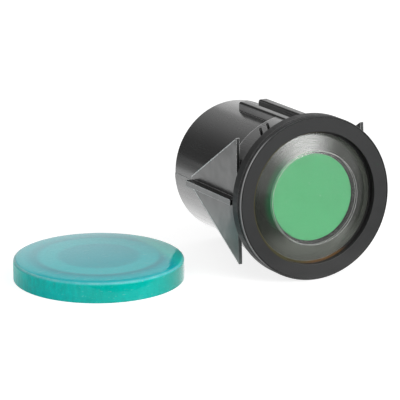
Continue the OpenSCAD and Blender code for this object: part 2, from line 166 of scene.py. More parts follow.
def add_object(name, data):
    made = bpy.data.objects.new(name, data)
    bpy.context.scene.collection.objects.link(made)
    return made


def aim(thing, target, direction, distance):
    """Puts a camera or lamp at a distance from a target and turns it to face the target."""
    thing.location = target + direction * distance
    thing.rotation_mode = "QUATERNION"
    thing.rotation_quaternion = (-direction).to_track_quat("-Z", "Y")


def make_camera():
    data = bpy.data.cameras.new("camera")
    data.sensor_width = SENSOR_MM
    data.lens = FOCAL_PX / PICTURE_PX * SENSOR_MM
    camera = add_object("camera", data)
    aim(
        camera,
        Vector(CAMERA_TARGET_MM) * MM,
        looking_from(CAMERA_AZIMUTH, CAMERA_ELEVATION),
        CAMERA_DISTANCE_MM * MM,
    )
    bpy.context.scene.camera = camera


make_camera()
bpy.context.scene.view_settings.view_transform = "Standard"


# Most of a noise's values lie between these two
NOISE_LOW = 0.3
NOISE_HIGH = 0.7

# Cosine between a rounded normal and the true one: where an edge begins to show, and where it shows fully
EDGE_BEGINS = 0.99
EDGE_FULL = 0.8
EDGE_SAMPLES = 4


class Nodes:
    """A node tree, with short ways to add nodes to it."""

    def __init__(self, tree):
        self.tree = tree

    def set(self, node, socket, value):
        """Gives a socket, by name or number, a plain value or a link from another node's socket."""
        if isinstance(value, bpy.types.NodeSocket):
            self.tree.links.new(value, node.inputs[socket])
        else:
            node.inputs[socket].default_value = value

    def add(self, kind, sockets=(), **settings):
        node = self.tree.nodes.new("ShaderNode" + kind)
        for name, value in settings.items():
            setattr(node, name, value)
        for socket, value in dict(sockets).items():
            self.set(node, socket, value)
        return node

    def math(self, operation, *values):
        return self.add("Math", dict(enumerate(values)), operation=operation).outputs[0]

    def times(self, first, *others):
        """Product of any number of values."""
        for other in others:
            first = self.math("MULTIPLY", first, other)
        return first

    def largest(self, first, *others):
        """Largest of any number of values."""
        for other in others:
            first = self.math("MAXIMUM", first, other)
        return first

    def distance(self, value, place):
        return self.math("ABSOLUTE", self.math("SUBTRACT", value, place))

    def span(self, value, low, high, out_low=0.0, out_high=1.0):
        """Takes a value from one range to another, smoothly and held at the ends."""
        sockets = {"Value": value, "From Min": low, "From Max": high, "To Min": out_low, "To Max": out_high}
        return self.add("MapRange", sockets, interpolation_type="SMOOTHSTEP").outputs[0]


class Look(Nodes):
    """One material, in the frame of the piece that wears it."""

    def __init__(self, name, place, **sockets):
        self.material = bpy.data.materials.new(name)
        self.material.use_nodes = True
        super().__init__(self.material.node_tree)
        self.shader = self.tree.nodes["Principled BSDF"]
        self.wear(**sockets)
        self.where = self.local(place)

    def wear(self, **sockets):
        """Gives the shader's sockets values or links."""
        for socket, value in sockets.items():
            self.set(self.shader, socket.replace("_", " "), value)
        return self.material

    def local(self, place):
        """Coordinates in millimetres in a piece's own frame."""
        sockets = {
            "Vector": self.add("TexCoord").outputs["Object"],
            "Location": place.translation,
            "Rotation": place.to_euler(),
            "Scale": (MM, MM, MM),
        }
        return self.add("Mapping", sockets, vector_type="TEXTURE").outputs["Vector"]

    def axes(self):
        """Coordinates in millimetres along the three axes of the piece's frame."""
        return self.add("SeparateXYZ", {0: self.where}).outputs

    def radius(self):
        """Distance from the piece's axis in millimetres."""
        x, y, _ = self.axes()
        flat = self.add("CombineXYZ", {0: x, 1: y}).outputs[0]
        return self.add("VectorMath", {0: flat}, operation="LENGTH").outputs["Value"]

    def noise(self, size, detail=3.0, stretch=(1, 1, 1), where=None):
        """Noise from 0 to 1 with features of about this size in millimetres."""
        scaled = self.add("Mapping", {"Vector": where or self.where, "Scale": stretch}).outputs["Vector"]
        return self.add("TexNoise", {"Vector": scaled, "Scale": 1 / size, "Detail": detail}).outputs[0]

    def varied(self, size, low, high, **kind):
        """Noise of this size, spread over a range of values."""
        return self.span(self.noise(size, **kind), NOISE_LOW, NOISE_HIGH, low, high)

    def mix(self, factor, a, b):
        return self.add("Mix", {0: factor, 6: a, 7: b}, data_type="RGBA").outputs[2]

    def layers(self, base, *coats):
        """Lays colours over a base, each one through its mask."""
        for mask, colour in coats:
            base = self.mix(mask, base, colour)
        return base

    def specks(self, apart, size, share):
        """Mask of round specks: spacing and size in millimetres, and the share of places that have one."""
        cells = self.add("TexVoronoi", {"Vector": self.where, "Scale": 1 / apart})
        near = self.span(cells.outputs["Distance"], size / apart, size / apart / 2)
        pick = self.add("SeparateColor", {0: cells.outputs["Color"]}).outputs[0]
        return self.times(near, self.math("LESS_THAN", pick, share))

    def edges(self, size):
        """Mask of the outer edges, about this wide in millimetres."""
        soft = self.add("Bevel", {"Radius": size * MM}, samples=EDGE_SAMPLES).outputs[0]
        hard = self.add("NewGeometry").outputs["Normal"]
        flat = self.add("VectorMath", {0: soft, 1: hard}, operation="DOT_PRODUCT").outputs["Value"]
        return self.span(flat, EDGE_BEGINS, EDGE_FULL)

    def bump(self, height, depth, normal=None):
        """Bump of a height from 0 to 1 over this depth in millimetres."""
        sockets = {"Height": height, "Distance": depth * MM, "Strength": 1.0}
        if normal:
            sockets["Normal"] = normal
        return self.add("Bump", sockets).outputs[0]


def grey(value):
    return (value, value, value, 1)


def tint(colour, factor):
    return tuple(min(channel * factor, 1.0) for channel in colour[:3]) + (1,)


# Shares of the base value: a moulding's least and most, a tarnished metal's tone, and its streaks' roughness
MOULDED_LEAST = 0.85
MOULDED_MOST = 1.15
TARNISH = 0.72
STREAK_LEAST = 0.75
STREAK_MOST = 1.3
MOULDED_DUST = grey(0.45)


def moulded(name, colour, rough, grain, grain_size, dust_and_painted_light=0.0):
    """Moulded plastic of the switch: soft tone drift, fine grain and a little dust."""
    look = Look(name, SWITCH)
    base = look.mix(look.noise(6), tint(colour, MOULDED_LEAST), tint(colour, MOULDED_MOST))
    if dust_and_painted_light:
        base = look.mix(look.specks(apart=0.9, size=0.06, share=dust_and_painted_light), base, MOULDED_DUST)
    smear = look.varied(3, rough * MOULDED_LEAST, rough * MOULDED_MOST, stretch=(1, 1, 0.4))
    fine = look.bump(look.noise(grain_size, detail=2), grain)
    return look.wear(Base_Color=base, Roughness=smear, Normal=fine)


def metal(name, colour, rough, streak):
    """Bare metal of the switch, with drawn or stamped streaks and a little tarnish."""
    look = Look(name, SWITCH, Metallic=1.0)
    lines = look.noise(0.08, detail=2, stretch=streak)
    stain = look.span(look.noise(1.6), 0.4, 0.75)
    base = look.mix(stain, colour, tint(colour, TARNISH))
    shine = look.span(lines, 0.2, 0.8, rough * STREAK_LEAST, rough * STREAK_MOST)
    return look.wear(Base_Color=base, Roughness=shine, Normal=look.bump(lines, 0.004))


# Outlines of revolved pieces: radius, depth and rounding of each corner, in millimetres, solid on the left
ARC_STEPS = 5
AROUND = 256
ON_POLE = 1e-6


def right_of(way):
    return Vector((way.y, -way.x)).normalized()


def rounded(outline, closed):
    """Rounds each corner of an outline and gives points with their outward normals."""
    corners = [Vector(corner[:2]) for corner in outline]
    count = len(corners)
    points = []
    for i, corner in enumerate(outline):
        here = corners[i]
        after = (corners[(i + 1) % count] - here).normalized()
        before = (here - corners[i - 1]).normalized()
        if not closed and i == 0:
            points.append((here, right_of(after)))
            continue
        if not closed and i == count - 1:
            points.append((here, right_of(before)))
            continue
        turn = math.atan2(before.x * after.y - before.y * after.x, before.dot(after))
        side = math.copysign(1, turn)
        reach = corner[2] * math.tan(abs(turn) / 2)
        middle = here - before * reach - right_of(before) * corner[2] * side
        for k in range(ARC_STEPS + 1):
            angle = turn * k / ARC_STEPS
            way = Vector((
                before.x * math.cos(angle) - before.y * math.sin(angle),
                before.x * math.sin(angle) + before.y * math.cos(angle),
            ))
            points.append((middle + right_of(way) * corner[2] * side, right_of(way)))
    return points


def divided(points, step):
    """Splits the long straight runs of an open outline."""
    split = points[:1]
    for (a, normal_a), (b, normal_b) in zip(points, points[1:]):
        pieces = max(1, math.ceil((b - a).length / step))
        for k in range(1, pieces + 1):
            t = k / pieces
            split.append((a.lerp(b, t), normal_a.lerp(normal_b, t).normalized()))
    return split


def lathe(name, outline, place, closed=True, step=None):
    """Revolved mesh with its exact normals."""
    points = rounded(outline, closed)
    if step:
        points = divided(points, step)
    turned = place.to_3x3()
    spots = []
    normals = []
    rows = []
    for point, normal in points:
        on_pole = point.x < ON_POLE
        steps = 1 if on_pole else AROUND
        rows.append([len(spots) + (0 if on_pole else j % AROUND) for j in range(AROUND + 1)])
        for j in range(steps):
            c = math.cos(2 * math.pi * j / AROUND)
            s = math.sin(2 * math.pi * j / AROUND)
            spots.append(place @ (Vector((point.x * c, point.x * s, point.y)) * MM))
            normals.append(turned @ Vector((normal.x * c, normal.x * s, normal.y)))
    pairs = list(zip(rows, rows[1:] + rows[:1]))
    if not closed:
        pairs.pop()
    faces = []
    for a, b in pairs:
        for j in range(AROUND):
            faces.append(list(dict.fromkeys((a[j], a[j + 1], b[j + 1], b[j]))))
    return smooth_mesh(name, spots, faces, normals)


def smooth_mesh(name, spots, faces, normals=None):
    mesh = bpy.data.meshes.new(name)
    mesh.from_pydata(spots, [], faces)
    mesh.polygons.foreach_set("use_smooth", [True] * len(mesh.polygons))
    if normals:
        mesh.normals_split_custom_set_from_vertices(normals)
    mesh.update()
    return mesh


COIL_STEPS = 72
WIRE_SIDES = 14


def coil(name, mean_d, wire, turns, z0, z1):
    """Coil spring with closed end turns, along the switch's axis."""
    low = z0 + wire / 2
    high = z1 - wire / 2
    rise = (high - low - 2 * wire) / (turns - 2)
    last = turns * COIL_STEPS
    spots = []
    for i in range(last + 1):
        turn = i / COIL_STEPS
        if turn < 1:
            z = low + turn * wire
        elif turn > turns - 1:
            z = high - (turns - turn) * wire
        else:
            z = low + wire + (turn - 1) * rise
        around = 2 * math.pi * turn
        for k in range(WIRE_SIDES):
            across = 2 * math.pi * k / WIRE_SIDES
            r = mean_d / 2 + wire / 2 * math.cos(across)
            spot = Vector((r * math.cos(around), r * math.sin(around), z + wire / 2 * math.sin(across)))
            spots.append(SWITCH @ (spot * MM))
    faces = []
    for i in range(last):
        for k in range(WIRE_SIDES):
            a = i * WIRE_SIDES
            b = a + WIRE_SIDES
            n = (k + 1) % WIRE_SIDES
            faces.append((a + k, b + k, b + n, a + n))
    faces.append(tuple(range(WIRE_SIDES)))
    faces.append(tuple(last * WIRE_SIDES + k for k in reversed(range(WIRE_SIDES))))
    return smooth_mesh(name, spots, faces)


def stand_for(node, mesh, material):
    """Makes the piece that replaces a node."""
    made = add_object(node + "_piece", mesh)
    mesh.materials.append(material)
    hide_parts(node)
    return made


# Bezel ring
BEZEL_TONES = (0.0155, 0.016, 0.0162, 1), (0.021, 0.0216, 0.022, 1)
BEZEL_MOTTLE = grey(0.012)
# Painted light: the bezel's lower part is made lighter, standing in for the floor's reflection
BEZEL_PAINTED_LOW_LIGHT = grey(0.034)
BEZEL_DUST = grey(0.3)
BEZEL_STAIN = (0.04, 0.035, 0.0, 1)
# Pale edges, partly wear and partly painted highlight
BEZEL_WORN_AND_HIGHLIGHT = grey(0.35)
BEZEL_OUTLINE = [
    (RECESS_R, 0, EASED),
    (GROOVE_IN_R, 0, FINE),
    (GROOVE_IN_R + GROOVE_SLOPE, GROOVE_BACK, KEEN),
    (GROOVE_OUT_R - GROOVE_SLOPE, GROOVE_BACK, KEEN),
    (GROOVE_OUT_R, 0, FINE),
    (BEZEL_R - BEZEL_EDGE_W, 0, EDGED),
    (BEZEL_R, BEZEL_EDGE_BACK, SOFT),
    (BEZEL_R, BEZEL_BACK - BEZEL_REAR_CHAMFER, EASED),
    (BEZEL_R - BEZEL_REAR_CHAMFER, BEZEL_BACK, CRISP),
    (RIM_R, BEZEL_BACK, CRISP),
    (RIM_R, RECESS_BACK, CRISP),
    (RECESS_R, RECESS_BACK, CRISP),
]


def bezel_material():
    """Matt black plastic with grain and dust, painted light on its lower part, worn edges that are partly painted
    highlights, and on the left a stained inner lip and a painted highlight along the outer one.
    """
    look = Look("bezel_black", SWITCH, IOR=1.45)
    across, down, back = look.axes()
    r = look.radius()
    mottling = look.span(look.noise(0.3, detail=4), 0.4, 0.65, 0.0, 0.35)
    # Painted light, lighter towards the bottom
    painted_lower_part = look.span(down, 9, 14)
    inner_lip = look.times(look.span(r, RECESS_R + 0.23, RECESS_R + 0.15), look.span(across, -4, -8))
    # Painted highlight: a pale line along the groove's outer edge, on the left only
    outer_lip_highlight = look.times(
        look.span(r, GROOVE_OUT_R - 0.03, GROOVE_OUT_R + 0.03),
        look.span(back, 0.22, 0.12),
        look.span(across, -8, -13, 0.0, 0.9),
    )
    # Worn edges, partly painted edge highlights
    wear_and_highlight = look.times(look.edges(0.12), look.varied(0.8, 0.1, 0.25))
    base = look.layers(
        look.mix(look.noise(6), *BEZEL_TONES),
        (mottling, BEZEL_MOTTLE),
        (painted_lower_part, BEZEL_PAINTED_LOW_LIGHT),
        (look.specks(apart=0.9, size=0.08, share=0.03), BEZEL_DUST),
        (inner_lip, BEZEL_STAIN),
        (look.largest(wear_and_highlight, outer_lip_highlight), BEZEL_WORN_AND_HIGHLIGHT),
    )
    smear = look.varied(3, 0.43, 0.57, stretch=(1, 1, 0.4))
    return look.wear(Base_Color=base, Roughness=smear, Normal=look.bump(look.noise(0.12, detail=2), 0.012))


bezel_mesh = lathe("bezel_ring_piece", BEZEL_OUTLINE, SWITCH)
bezel = stand_for("bezel_ring", bezel_mesh, bezel_material())
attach(bezel, "switch")

# Amber seal ring
AMBER_TONES = (0.085, 0.043, 0.012, 1), (0.14, 0.07, 0.018, 1)
# Olive: the amber rubber's painted shade
OLIVE_SHADE_TONES = (0.04, 0.034, 0.010, 1), (0.07, 0.06, 0.02, 1)
# Painted shade, near black
SEAL_PAINTED_SHADE = grey(0.008)
SEAL_REAR_ROUNDING = 0.04
SEAL_OUTLINE = [
    (SEAL_R, RECESS_BACK, EDGED),
    (RIM_R, RECESS_BACK, KEEN),
    (RIM_R, SEAL_BACK, KEEN),
    (SEAL_R, SEAL_BACK, SEAL_REAR_ROUNDING),
]


def seal_material():
    """Amber rubber with painted light and shade: amber low down where light falls, and less on the left; elsewhere
    an olive painted shade, near black on the right.
    """
    look = Look("amber_seal", SWITCH, IOR=1.45)
    across, down, _ = look.axes()
    # Painted light: amber only low down and not on the left; elsewhere painted shade, darkest on the right
    painted_lit_part = look.times(look.span(down, 10.2, 11.6), look.span(across, -4, 1))
    amber = look.mix(look.noise(0.7), *AMBER_TONES)
    olive_shade = look.mix(look.noise(1.1), *OLIVE_SHADE_TONES)
    painted_shade_side = look.mix(look.span(across, -2, 5), olive_shade, SEAL_PAINTED_SHADE)
    grain = look.bump(look.noise(0.15), 0.004)
    return look.wear(
        Base_Color=look.mix(painted_lit_part, painted_shade_side, amber), Roughness=look.varied(0.8, 0.3, 0.5), Normal=grain,
    )


seal_mesh = lathe("seal_ring_piece", SEAL_OUTLINE, SWITCH)
seal = stand_for("seal_ring", seal_mesh, seal_material())
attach(seal, "switch")

# Boot
CLEAR_TONES = (0.90, 0.92, 0.89, 1), (0.96, 0.97, 0.95, 1)
SMOKED_TONES = (0.22, 0.24, 0.205, 1), (0.28, 0.3, 0.265, 1)
# Painted reflection: the green button as seen in the cone's inner part on the left
BOOT_PAINTED_GREEN_REFLECTION = (0.08, 0.7, 0.3, 1)
# Painted light: a paler lower part of the cone, standing in for light scattered through it
BOOT_PAINTED_LOW_LIGHT = (0.37, 0.39, 0.35, 1)
BOOT_STEP = 0.25
BOOT_OUTLINE = [
    (0, 0, 0),
    (BEAD_FOOT_R, 0, FINE),
    (BEAD_IN_R, -BEAD_H, FINE),
    (BEAD_OUT_R, -BEAD_H, FINE),
    (PLATEAU_R, PLATEAU_CHAMFER, EASED),
    (CONE_R, SEAL_BACK, SOFT),
    (RIM_R, SEAL_BACK, CRISP),
    (RIM_R, BOOT_BACK, CRISP),
    (CONE_UNDER_R, BOOT_BACK, SOFT),
    (PLATEAU_UNDER_R, BOOT_T, ROUND),
    (0, BOOT_T, 0),
]


def boot_material():
    """Clear soft plastic: fine marks round its axis, a whitened edge that also paints its highlight, specks, a
    smoked cone with a painted paler lower part and a painted green reflection on the left, and painted light as
    lighter haze on the right.
    """
    look = Look("clear_boot", SWITCH, IOR=1.15, Coat_Weight=1.0, Coat_Roughness=0.19, Coat_IOR=1.55)
    across, down, _ = look.axes()
    r = look.radius()
    marks = look.noise(0.3, where=look.add("CombineXYZ", {0: r}).outputs[0])
    cone = look.span(r, BEAD_R + 0.05, BEAD_R + 0.3)
    # Painted light: lighter haze at the cone's foot and the plateau's shoulder, on the right
    foot = look.span(r, 10.8, 11.4, 0.0, 0.3)
    shoulder = look.times(look.span(r, 8.0, 8.4, 0.0, 0.04), look.span(r, BEAD_R + 0.4, BEAD_R))
    on_right = look.times(look.span(across, -6, 1), look.span(marks, 0.2, 0.8, 0.6, 1.0))
    dust_and_painted_light = look.times(look.largest(foot, shoulder), on_right)
    # A whitened line on the bead, which also paints the bead's edge highlight
    whitened_and_highlight_line = look.times(look.span(look.distance(r, BEAD_R), 0.05, 0.02), look.varied(1.2, 0.55, 0.95))
    # Painted light: the cone's lower part is paler and less clear, most between its sides
    sides = look.times(look.span(across, -12, -3, 0.5, 1.0), look.span(across, 9, 3, 0.75, 1.0))
    painted_lower_light = look.times(look.span(down, 3.5, 9), sides)
    painted_light_on_cone = look.times(cone, look.span(painted_lower_light, 0, 1, 0.12, 0.38))
    specks_and_painted_light = look.largest(dust_and_painted_light, whitened_and_highlight_line, look.specks(apart=1.3, size=0.11, share=0.07), painted_light_on_cone)
    # Painted reflection of the green button on the cone's inner left part
    on_left = look.times(look.span(across, -4, -8.5, 0.0, 0.7), look.span(down, 7, 1))
    glow = look.times(look.span(r, 10.6, 9.2), on_left)
    # The smoked cone, with the painted green reflection and painted lower light laid over it
    smoked_with_painted_light = look.layers(look.mix(look.noise(2), *SMOKED_TONES), (glow, BOOT_PAINTED_GREEN_REFLECTION), (painted_lower_light, BOOT_PAINTED_LOW_LIGHT))
    base = look.mix(cone, look.mix(look.noise(2), *CLEAR_TONES), smoked_with_painted_light)
    smear = look.math("ADD", look.span(look.noise(1.5), 0.35, 0.75, 0.03, 0.07), look.times(cone, 0.15))
    ridges = look.bump(marks, 0.014)
    return look.wear(
        Base_Color=base, Roughness=smear, Normal=ridges, Coat_Normal=ridges,
        Transmission_Weight=look.math("SUBTRACT", 1.0, specks_and_painted_light),
    )


boot_mesh = lathe("boot_piece", BOOT_OUTLINE, SWITCH, closed=False, step=BOOT_STEP)
boot = stand_for("boot", boot_mesh, boot_material())
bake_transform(boot)

# Green button
GREEN_TONES = (0.082, 0.47, 0.195, 1), (0.105, 0.565, 0.237, 1)
GREEN_MOTTLE = (0.05, 0.33, 0.13, 1)
GREEN_DUST = grey(0.5)
GREEN_SKIRT = (0.014, 0.13, 0.05, 1)
CAP_OUTLINE = [
    (0, CAP_FRONT, 0),
    (CAP_R - CAP_CHAMFER, CAP_FRONT, EASED),
    (CAP_R, CAP_FRONT + CAP_CHAMFER, EASED),
    (CAP_R, CAP_BACK - CAP_CHAMFER, CRISP),
    (CAP_R - CAP_CHAMFER, CAP_BACK, CRISP),
    (CAP_INNER_R, CAP_BACK, CRISP),
    (CAP_INNER_R, CAP_FACE_BACK, FULL),
    (BOSS_R, CAP_FACE_BACK, ROUND),
    (BOSS_R, BOSS_BACK, CRISP),
    (PIN_HOLE_R, BOSS_BACK, CRISP),
    (PIN_HOLE_R, PIN_HOLE_FRONT, CRISP),
    (0, PIN_HOLE_FRONT, 0),
]


def green_material():
    """Satin green plastic with a little dust, dark down its skirt where no light comes."""
    look = Look("green_button", SWITCH)
    _, _, back = look.axes()
    mottling = look.span(look.noise(0.5, detail=4), 0.4, 0.7, 0.0, 0.16)
    skirt = look.span(back, CAP_FRONT + 0.15, CAP_FRONT + 0.6)
    base = look.layers(
        look.mix(look.noise(6), *GREEN_TONES),
        (mottling, GREEN_MOTTLE),
        (look.specks(apart=1.1, size=0.1, share=0.07), GREEN_DUST),
        (skirt, GREEN_SKIRT),
    )
    grain = look.bump(look.noise(0.15, detail=2), 0.003)
    return look.wear(Base_Color=base, Roughness=look.varied(3, 0.34, 0.46), Normal=grain)


cap_mesh = lathe("button_cap_piece", CAP_OUTLINE, SWITCH, closed=False)
cap = stand_for("button_cap", cap_mesh, green_material())
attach(cap, "button")

# Springs
WIRE = (0.62, 0.63, 0.64, 1)
wire_look = metal("spring_wire", WIRE, rough=0.26, streak=(1, 1, 1))
return_mesh = coil("return_spring_piece", **RETURN_SPRING)
return_spring = stand_for("return_spring", return_mesh, wire_look)
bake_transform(return_spring)
contact_mesh = coil("contact_spring_piece", **CONTACT_SPRING)
contact_spring = stand_for("contact_spring", contact_mesh, wire_look)
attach(contact_spring, "button")

# Lens cover
LENS_SIDE_TONES = (0.0, 0.60, 0.51, 1), (0.001, 0.64, 0.55, 1)
# Painted light on the side's left end, and painted shade on its right end near the switch
LENS_SIDE_LEFT_LIGHT = (0.0, 0.92, 0.86, 1)
LENS_SIDE_RIGHT_SHADE = (0.0, 0.34, 0.28, 1)
LENS_SIDE_STREAK = (0.0, 0.42, 0.36, 1)
LENS_TOP_TONES = (0.004, 0.46, 0.53, 1), (0.008, 0.49, 0.56, 1)
LENS_BORDER = (0.02, 0.36, 0.43, 1)
LENS_OUTER = (0.004, 0.585, 0.635, 1)
# Painted light on the top's right end, near the switch
LENS_RIGHT_LIGHT = (0.03, 0.74, 0.66, 1)
LENS_RING = (0.001, 0.61, 0.65, 1)
# Painted sheen: paler towards the top's far side
LENS_PAINTED_SHEEN = (0.62, 0.95, 1.0, 1)
# Pale marks, and the rim's painted highlight
LENS_PALE_AND_HIGHLIGHT = (0.5, 0.85, 0.84, 1)
LENS_MOTTLE = (0.0, 0.3, 0.32, 1)
LENS_RIM_R = 16.0
LENS_CROWN = [
    (16.08, 3.8, FULL),
    (15.7, 3.96, 1.0),
    (15.0, 4.05, 4.0),
    (13.8, 4.13, 6.0),
    (LENS_RING_OUT_R, LENS_H, 6.0),
]
LENS_OUTLINE = [
    (0, LENS_UNDER_H, 0),
    (LENS_RING_IN_R, LENS_UNDER_H, CRISP),
    (LENS_RING_IN_R, LENS_RING_H, CRISP),
    (LENS_RING_OUT_R, LENS_RING_H, CRISP),
    (LENS_RING_OUT_R, LENS_UNDER_H, CRISP),
    (LENS_INNER_R, LENS_UNDER_H, ROUND),
    (LENS_INNER_R, LENS_LIP_H, CRISP),
    (LENS_LIP_R, LENS_LIP_H, CRISP),
    (LENS_LIP_R, LENS_SNAP_HIGH, CRISP),
    (LENS_SNAP_R, LENS_SNAP_HIGH, CRISP),
    (LENS_SNAP_R, LENS_SNAP_LOW, CRISP),
    (LENS_LIP_R, LENS_SNAP_LOW, CRISP),
    (LENS_LIP_R, 0, CRISP),
    (LENS_R, 0, EASED),
    (LENS_R, LENS_SIDE_H, ROUND),
    *LENS_CROWN,
    (0, LENS_H, 0),
]


def lens_top(look, drift):
    """Colour of the lens cover's top: a saturated ring, a dark border, painted light on its right end, and a
    painted sheen towards the far side.
    """
    across, along, _ = look.axes()
    r = look.radius()
    ring = look.times(look.span(r, 7.0, 8.6), look.span(r, 12.2, 10.8))
    border = look.span(look.distance(r, LENS_RING_OUT_R), 1.0, 0.2)
    near_border = look.times(border, look.span(along, 3, -5, 0.3, 0.7))
    # Painted sheen, growing towards the far side
    painted_sheen = look.add("MapRange", {"Value": along, "From Min": -5, "From Max": 15, "To Max": 0.4}).outputs[0]
    return look.layers(
        look.mix(drift, *LENS_TOP_TONES),
        (near_border, LENS_BORDER),
        (look.span(r, 12.8, 14.4), LENS_OUTER),
        (look.span(across, 10, 13), LENS_RIGHT_LIGHT),
        (ring, LENS_RING),
        (painted_sheen, LENS_PAINTED_SHEEN),
    )


def lens_side(look, drift):
    """Colour of the lens cover's side: painted light on the left, painted shade on the right, with soft streaks.
    """
    across, _, _ = look.axes()
    streaks = look.noise(0.9, detail=4, stretch=(1, 1, 0.4))
    return look.layers(
        look.mix(drift, *LENS_SIDE_TONES),
        (look.span(across, -6, -15, 0.0, 0.75), LENS_SIDE_LEFT_LIGHT),
        (look.span(across, 1, 13, 0.0, 0.9), LENS_SIDE_RIGHT_SHADE),
        (look.span(streaks, 0.35, 0.7, 0.0, 0.3), LENS_SIDE_STREAK),
    )


def lens_material():
    """Translucent teal plastic with specks, fine scratches and a pale rim that is partly wear and partly a painted
    highlight, strongest on the far side.
    """
    look = Look(
        "teal_lens", LENS, IOR=1.3, Subsurface_Weight=0.5, Subsurface_Radius=(0.2, 1.0, 0.9),
        Subsurface_Scale=1.5 * MM,
    )
    across, along, up = look.axes()
    drift = look.noise(4)
    rim = look.times(look.span(look.distance(look.radius(), LENS_RIM_R), 0.3, 0.1), look.span(up, 3.3, 3.6))
    # Painted highlight along the rim, partly wear, strongest on the far side
    wear_and_highlight = look.times(rim, look.varied(1.5, 0.25, 0.5), look.span(along, -12, 13, 0.9, 1.9))
    scratches = look.span(look.noise(0.3, detail=2, stretch=(0.12, 1, 1)), 0.62, 0.75, 0.0, 0.2)
    pale_and_highlight = look.largest(wear_and_highlight, look.specks(apart=1.2, size=0.07, share=0.06), scratches)
    mottling = look.span(look.noise(0.4, detail=4), 0.35, 0.65, 0.0, 0.12)
    base = look.layers(
        lens_side(look, drift),
        (look.span(up, 3.4, 3.85), lens_top(look, drift)),
        (pale_and_highlight, LENS_PALE_AND_HIGHLIGHT),
        (mottling, LENS_MOTTLE),
    )
    dull_side = look.times(look.span(across, -8, -14, 0.0, 0.3), look.span(up, 3.6, 3.3))
    smear = look.math("ADD", look.span(look.noise(2.5), 0.3, 0.75, 0.06, 0.14), dull_side)
    return look.wear(Base_Color=base, Roughness=smear, Normal=look.bump(look.noise(0.3), 0.002))


lens_mesh = lathe("lens_cover_piece", LENS_OUTLINE, LENS, closed=False)
lens = stand_for("lens_cover", lens_mesh, lens_material())
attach(lens, "switch")

# Pieces that keep their own mesh
WELD_MM = 0.001
FLAT_ANGLE = 0.2
SOFTENED_ANGLE = 40
SOFTENED_STEPS = 2


def dress(node, material):
    """Gives a carried-over node its material."""
    piece = frame["nodes"][node]
    piece.data.materials.clear()
    piece.data.materials.append(material)


def soften(node, width):
    """Rounds the edges of a carried-over node by a width in millimetres."""
    piece = frame["nodes"][node]
    piece.modifiers.new("weld", "WELD").merge_threshold = WELD_MM * MM
    flat = piece.modifiers.new("flat", "DECIMATE")
    flat.decimate_type = "DISSOLVE"
    flat.angle_limit = math.radians(FLAT_ANGLE)
    bevel = piece.modifiers.new("soften", "BEVEL")
    bevel.width = width * MM
    bevel.segments = SOFTENED_STEPS
    bevel.limit_method = "ANGLE"
    bevel.angle_limit = math.radians(SOFTENED_ANGLE)
    piece.modifiers.new("even", "WEIGHTED_NORMAL")
    piece.data.polygons.foreach_set("use_smooth", [True] * len(piece.data.polygons))


# Housing
GLOSS_TONES = (0.006, 0.0062, 0.006, 1), (0.011, 0.0112, 0.011, 1)
SATIN_TONES = (0.022, 0.0235, 0.023, 1), (0.034, 0.036, 0.035, 1)
# Painted light and shade on the rib: its sides darker, its outer face lighter
RIB_SIDE_SHADE = grey(0.012)
RIB_FACE_LIGHT = grey(0.07)
# Painted light: the collar and the fins' sides are made grey
RAISED_PAINTED_LIGHT = grey(0.15)
FLANGE = grey(0.03)
HOUSING_DUST = grey(0.4)
# Painted reflection: the wings' lower parts are made paler, standing in for the floor's reflection
WING_PAINTED_LOW_REFLECTION = (0.21, 0.232, 0.226, 1)
# Pale edges, partly wear and partly painted highlight; brighter painted highlights and thin painted highlight
# lines follow
HOUSING_WEAR_AND_HIGHLIGHT = grey(0.4)
PAINTED_BRIGHT_HIGHLIGHT = grey(0.9)
PAINTED_HIGHLIGHT_LINE = grey(0.85)
# Painted shade inside the collar's slits
SLIT_PAINTED_SHADE = grey(0.001)
SOFTENED_EDGE = 0.1


def inside_slits(look):
    """Mask of the walls inside the collar's two slits, which take painted shade."""
    across, down, back = look.axes()
    r = look.radius()
    along = look.times(look.math("SUBTRACT", back, SLIT_MIDDLE), math.tan(SLIT_TURN))
    skewed = look.math("SUBTRACT", across, along)
    nearest = look.math("MINIMUM", *(look.distance(skewed, place) for place in SLIT_PLACES))
    sunk = look.times(
        look.span(r, SPIGOT_R - 0.03, SPIGOT_R - 0.1), look.span(r, BARREL_R + 0.1, BARREL_R + 0.2)
    )
    on_top = look.times(look.span(down, -9, -11), look.span(back, COLLAR_BACK - 0.5, COLLAR_BACK - 0.7))
    return look.times(look.span(nearest, 0.36, 0.31), look.times(sunk, on_top))


def wing_faces(look):
    """Mask of the wings' outer faces."""
    aside = look.math("ABSOLUTE", look.axes()[0])
    return look.span(aside, WING_OUT - 0.4, WING_OUT - 0.25)


def wing_highlight_edges(look):
    """Mask of the thin painted highlight line along the wings' sloping edges."""
    _, down, back = look.axes()
    fall = look.times(look.math("SUBTRACT", back, WING_FRONT), WING_SLOPE)
    inwards = look.math("SUBTRACT", look.math("SUBTRACT", WING_HALF, fall), look.math("ABSOLUTE", down))
    behind_corner = look.span(back, WING_FRONT + 0.3, WING_FRONT + 0.8)
    return look.times(wing_faces(look), behind_corner, look.span(inwards, 0.32, 0.18))


def collar_highlight_edge(look):
    """Mask of the thin painted highlight line along the collar's rear edge, between the fins and the wings."""
    across, _, back = look.axes()
    aside = look.math("ABSOLUTE", across)
    line = look.span(look.distance(back, COLLAR_BACK - 0.06), 0.18, 0.06, 0.0, 0.8)
    outside = look.span(look.radius(), SPIGOT_R - 0.4, SPIGOT_R - 0.25)
    between = look.times(
        look.span(aside, FIN_OUT + 0.35, FIN_OUT + 0.65), look.span(aside, WING_IN - 0.1, WING_IN - 0.4)
    )
    return look.times(look.times(line, outside), between)


